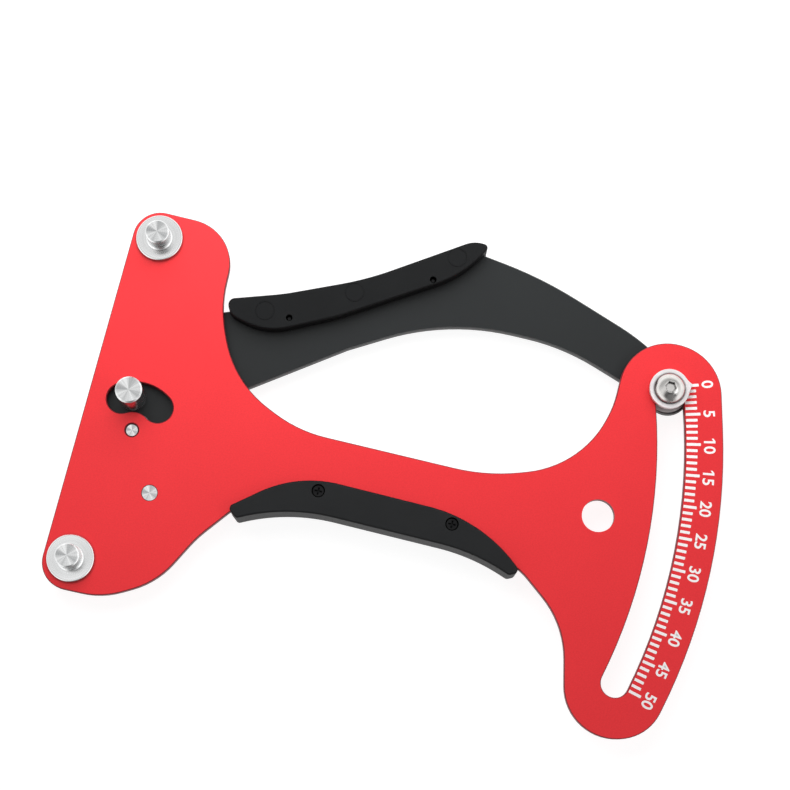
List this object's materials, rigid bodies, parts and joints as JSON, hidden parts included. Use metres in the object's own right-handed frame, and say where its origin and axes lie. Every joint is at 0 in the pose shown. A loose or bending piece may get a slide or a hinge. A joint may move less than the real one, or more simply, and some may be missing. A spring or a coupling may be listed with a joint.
{
  "type": "spoke tension meter",
  "caption": "Deflection-type spoke tension meter: red plate with fixed posts and a curved scale, sprung black arm with a moving post, pointer and grips.",
  "frame": {"origin": "middle of the overall outline at rest, on the plane that the tool lies on", "axes": "+X along the tool towards the scale, +Y towards the upper grip, +Z out of the front face"},
  "size_m": [0.1934, 0.1364, 0.0222],
  "materials": {
    "red_anodised": "red anodised over a fine blast, satin, with a light bevelled edge",
    "black_anodised": "black anodised, satin",
    "grip_plastic": "black moulded, matte",
    "turned_steel": "bright turned, with circular tool marks",
    "fastener_steel": "bright plated",
    "pointer_steel": "fine satin",
    "black_steel": "black oxide, satin",
    "spring_wire": "drawn wire"
  },
  "bodies": {
    "frame": {"body_plate": "red_anodised", "upper_fixed_post": "turned_steel", "lower_fixed_post": "turned_steel", "fixed_post_screws": "fastener_steel", "pivot_pin": "turned_steel", "pivot_washer": "fastener_steel", "pivot_rear_washer": "fastener_steel", "pivot_clip": "fastener_steel", "body_spring_post": "turned_steel", "lower_grip_front": "grip_plastic", "lower_grip_rear": "grip_plastic", "lower_grip_screws": "black_steel", "return_spring": "spring_wire"},
    "arm": {"arm_plate": "black_anodised", "moving_post": "turned_steel", "moving_post_screw": "fastener_steel", "arm_spring_post": "turned_steel", "slot_washer": "fastener_steel", "slot_bush": "fastener_steel", "pointer_washer": "pointer_steel", "pointer": "pointer_steel", "pointer_screw": "fastener_steel", "pointer_nut": "fastener_steel", "upper_grip_front": "grip_plastic", "upper_grip_rear": "grip_plastic", "upper_grip_screws": "black_steel"}
  },
  "joints": [
    {"name": "arm_pivot", "type": "hinge", "parent": "frame", "child": "arm", "pos_m": [-0.08107, -0.0134, 0.008], "axis": [0, 0, -1], "range_deg": [0, 32], "stiffness_Nm_per_rad": 0.84, "springref_deg": -14.32, "deforming": ["return_spring"]}
  ]
}
